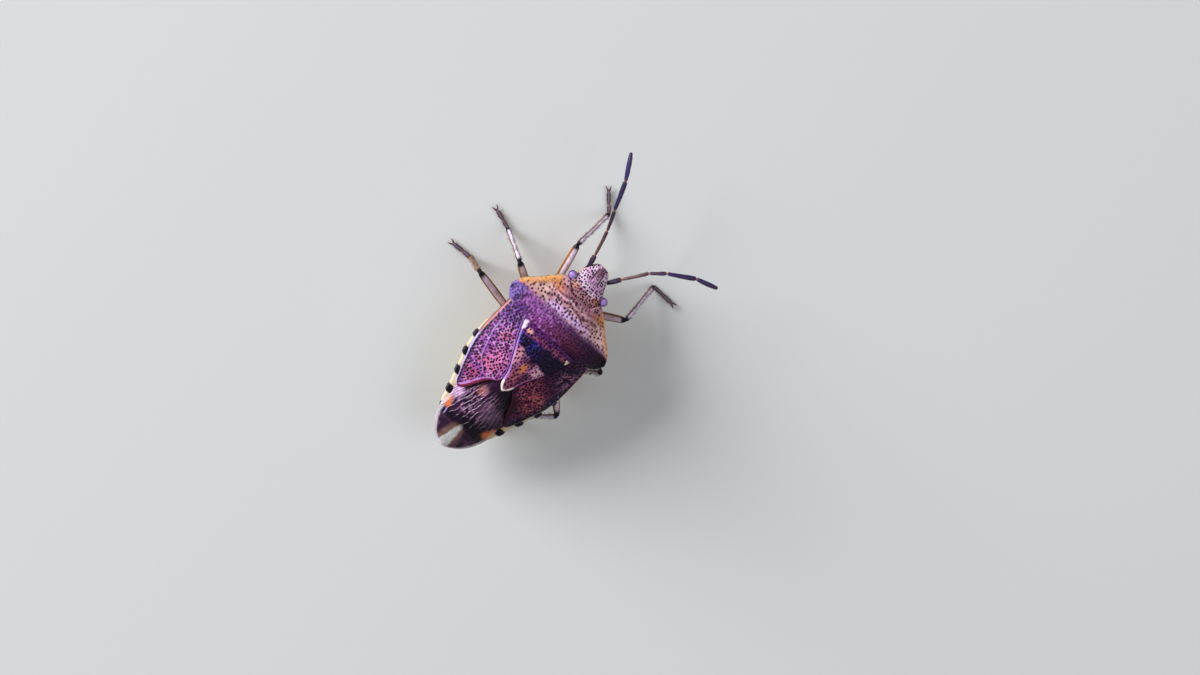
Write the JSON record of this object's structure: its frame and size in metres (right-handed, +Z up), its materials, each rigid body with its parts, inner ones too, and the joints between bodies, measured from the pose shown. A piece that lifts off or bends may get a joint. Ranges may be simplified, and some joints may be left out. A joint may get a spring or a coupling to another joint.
{
  "type": "shield bug model",
  "caption": "Still life-size model of a shield bug walking on a flat floor, with folded wings, five-part feelers and clawed feet.",
  "frame": {"origin": "on the floor, under the middle of the model's bounding box", "axes": "the head points along -Y, the bug's left side is +X and +Z is up; the feet rest on z = 0"},
  "size_m": [0.0082, 0.0118, 0.0028],
  "materials": {
    "head": "pale waxy shell with dark pits",
    "beak": "satin, darker at the tip",
    "eye": "glossy, finely faceted",
    "antenna": "satin with short down",
    "pronotum": "waxy shell, pitted, tan in front and purple behind",
    "scutellum": "waxy shell, pitted, with a dark patch and a pale tip",
    "corium": "waxy shell, pitted, purple to dark red",
    "membrane": "crinkled glossy film, smoky brown with a pale window",
    "thorax": "satin shell, pale with dark pits",
    "abdomen": "satin, pale below with a rim banded in cream and black",
    "leg": "satin, brown with dark joints and feet"
  },
  "bodies": {
    "root": {"head": "head", "beak": "beak", "eye_left": "eye", "eye_right": "eye", "antenna_left": "antenna", "antenna_right": "antenna", "pronotum": "pronotum", "scutellum": "scutellum", "corium_left": "corium", "corium_right": "corium", "membrane_left": "membrane", "membrane_right": "membrane", "thorax": "thorax", "abdomen": "abdomen", "leg_fore_left": "leg", "leg_fore_right": "leg", "leg_mid_left": "leg", "leg_mid_right": "leg", "leg_hind_left": "leg", "leg_hind_right": "leg"}
  },
  "joints": []
}
